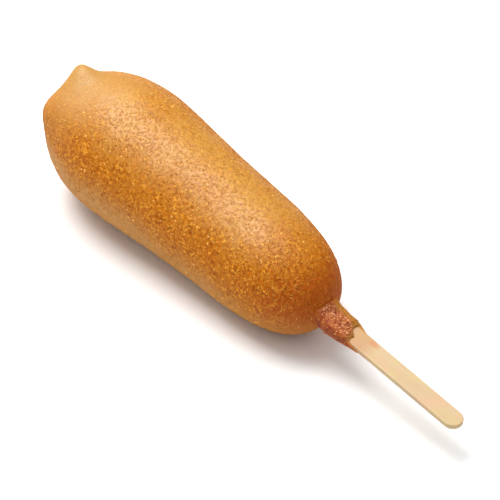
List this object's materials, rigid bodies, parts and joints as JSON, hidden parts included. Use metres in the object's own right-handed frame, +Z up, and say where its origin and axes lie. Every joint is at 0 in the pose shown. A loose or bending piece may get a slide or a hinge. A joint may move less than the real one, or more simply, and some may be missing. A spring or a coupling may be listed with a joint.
{
  "type": "corn dog",
  "caption": "Fried batter-coated sausage on a flat wooden stick, lying down; fat tapering golden crust with a small drip at its tip.",
  "frame": {"origin": "bottom centre of the whole corn dog's box, on the table it lies on", "axes": "+X along the corn dog towards the bare end of its stick, -X towards the crust's domed tip, +Z up from the table, +Y to the left when looking along +X"},
  "size_m": [0.1718, 0.0424, 0.0422],
  "materials": {
    "fried_batter": "deep-fried cornmeal batter, golden brown with a slight oily shine",
    "birch": "plain sanded birch, no varnish"
  },
  "bodies": {
    "root": {"batter": "fried_batter", "stick": "birch"}
  },
  "joints": []
}
